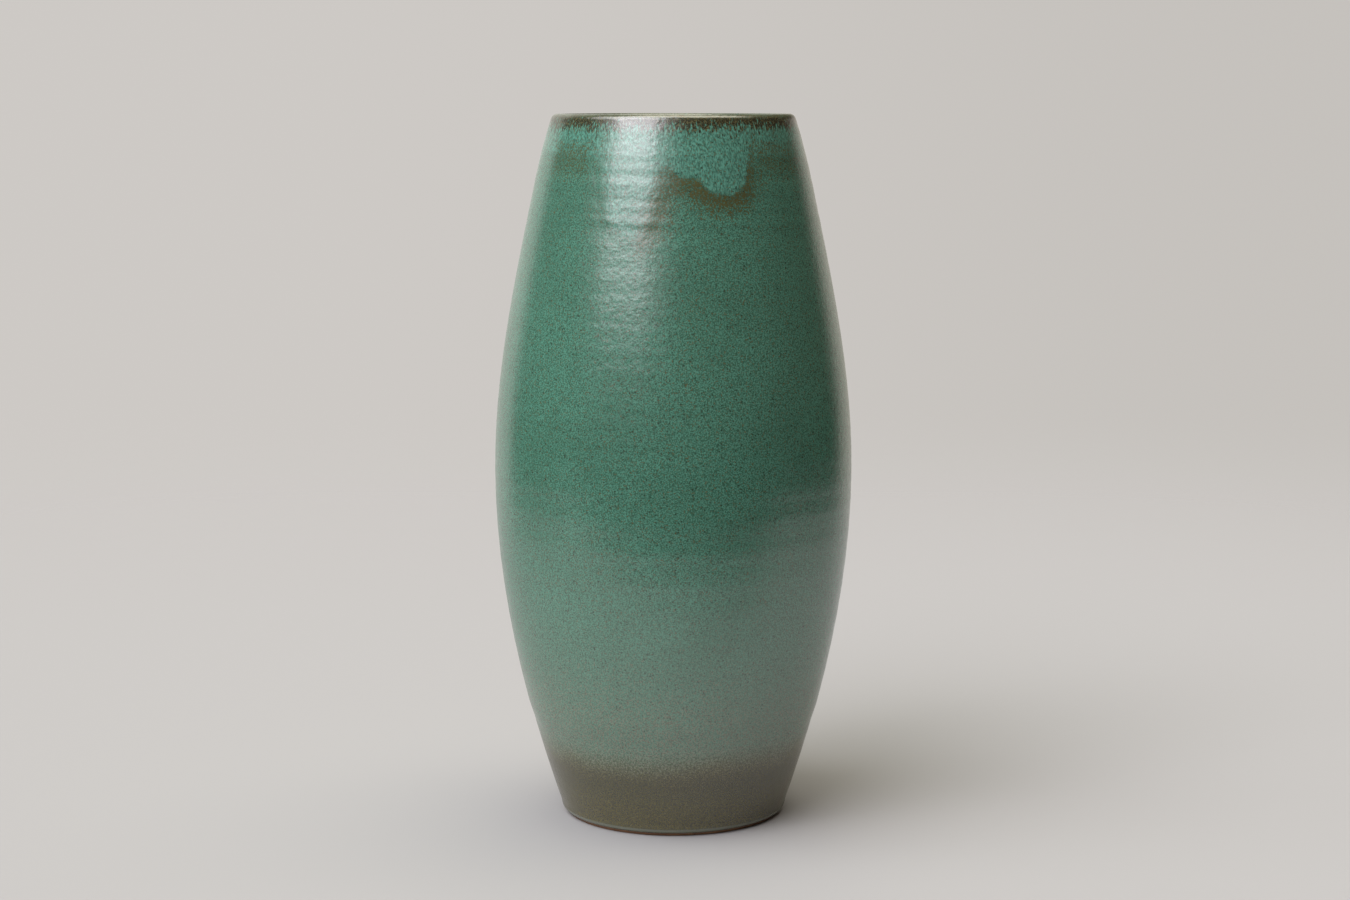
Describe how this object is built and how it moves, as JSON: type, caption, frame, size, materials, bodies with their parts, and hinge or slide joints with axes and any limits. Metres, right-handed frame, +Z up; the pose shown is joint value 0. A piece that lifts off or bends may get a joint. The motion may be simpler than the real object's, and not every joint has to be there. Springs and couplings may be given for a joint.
{
  "type": "stoneware vase",
  "caption": "Tall wheel-thrown vase with a full belly, a tapered shoulder and an open rounded mouth, standing on a turned foot ring.",
  "frame": {"origin": "on the vase's axis, at the underside of the foot ring", "axes": "+Z up along the vase's axis; -Y is the front"},
  "size_m": [0.1528, 0.1526, 0.3],
  "materials": {
    "stoneware_clay": "fired, unglazed",
    "ground_glaze": "satin",
    "green_glaze": "semi-gloss",
    "collar_glaze": "gloss",
    "liner_glaze": "gloss"
  },
  "bodies": {
    "root": {"clay_body": "stoneware_clay", "ground_glaze": "ground_glaze", "green_glaze": "green_glaze", "collar_glaze": "collar_glaze", "liner_glaze": "liner_glaze"}
  },
  "joints": []
}
